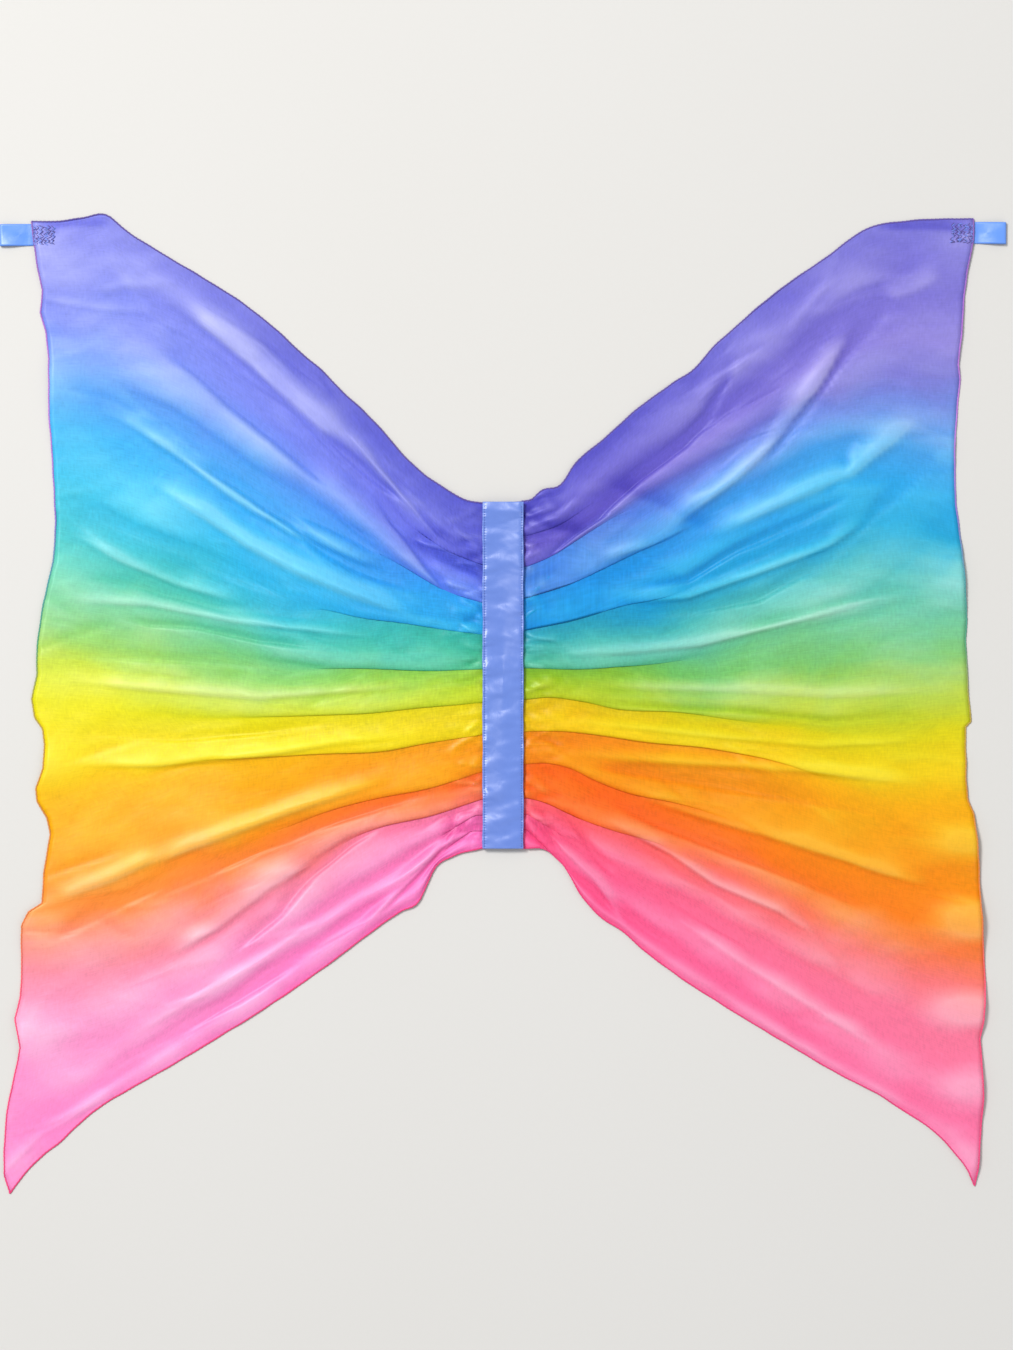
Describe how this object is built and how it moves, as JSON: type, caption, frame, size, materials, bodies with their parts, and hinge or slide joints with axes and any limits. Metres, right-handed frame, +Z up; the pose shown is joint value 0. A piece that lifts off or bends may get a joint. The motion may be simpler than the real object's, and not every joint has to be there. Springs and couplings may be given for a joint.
{
  "type": "fairy wings",
  "caption": "Gathered silk dress-up wings with a satin ribbon spine, ribbon finger loops at the upper corners and elastic shoulder straps behind.",
  "frame": {"origin": "middle of the outline, on the surface that the wings lie on, under the spine's centre line", "axes": "+X along the right wing, +Y to the top of the spine, +Z up from the surface, away from the wearer's back"},
  "size_m": [0.9204, 0.8926, 0.0106],
  "materials": {
    "silk": "dyed silk, soft sheen",
    "satin_ribbon": "satin",
    "hem_thread": "overlocked thread",
    "blue_thread": "sewing thread",
    "white_thread": "sewing thread",
    "elastic": "braided elastic",
    "label": "smooth tape"
  },
  "bodies": {
    "spine": {"spine_ribbon_back": "satin_ribbon", "silk_gather_core": "silk", "spine_ribbon_front": "satin_ribbon", "gathering_thread_left": "white_thread", "gathering_thread_right": "white_thread", "spine_topstitch_left": "blue_thread", "spine_topstitch_right": "blue_thread", "strap_tab_left_upper": "elastic", "strap_tab_left_lower": "elastic", "strap_tab_right_upper": "elastic", "strap_tab_right_lower": "elastic", "strap_bartack_left_upper": "white_thread", "strap_bartack_left_lower": "white_thread", "strap_bartack_right_upper": "white_thread", "strap_bartack_right_lower": "white_thread", "care_label": "label"},
    "left_wing": {"silk_wing_left": "silk", "hem_top_left": "hem_thread", "hem_side_left": "hem_thread", "hem_bottom_left": "hem_thread", "corner_tack_left": "hem_thread"},
    "left_finger_loop": {"finger_loop_left": "satin_ribbon"},
    "left_strap": {"shoulder_strap_left": "elastic"},
    "right_wing": {"silk_wing_right": "silk", "hem_top_right": "hem_thread", "hem_side_right": "hem_thread", "hem_bottom_right": "hem_thread", "corner_tack_right": "hem_thread"},
    "right_finger_loop": {"finger_loop_right": "satin_ribbon"},
    "right_strap": {"shoulder_strap_right": "elastic"}
  },
  "joints": [
    {"name": "left_wing_fold", "type": "hinge", "parent": "spine", "child": "left_wing", "pos_m": [-0.0203, 0.027, 0.0073], "axis": [0, 1, 0], "range_deg": [0, 85]},
    {"name": "left_finger_loop_swing", "type": "hinge", "parent": "left_wing", "child": "left_finger_loop", "pos_m": [-0.4305, 0.431, 0.0008], "axis": [0, 1, 0], "range_deg": [-90, 90]},
    {"name": "left_strap_swing", "type": "hinge", "parent": "spine", "child": "left_strap", "pos_m": [-0.01935, 0.085, 0.0009], "axis": [0, -1, 0], "range_deg": [0, 90]},
    {"name": "right_wing_fold", "type": "hinge", "parent": "spine", "child": "right_wing", "pos_m": [0.0203, 0.027, 0.0073], "axis": [0, -1, 0], "range_deg": [0, 85]},
    {"name": "right_finger_loop_swing", "type": "hinge", "parent": "right_wing", "child": "right_finger_loop", "pos_m": [0.4305, 0.431, 0.0008], "axis": [0, -1, 0], "range_deg": [-90, 90]},
    {"name": "right_strap_swing", "type": "hinge", "parent": "spine", "child": "right_strap", "pos_m": [0.01935, 0.085, 0.0009], "axis": [0, 1, 0], "range_deg": [0, 90]}
  ]
}
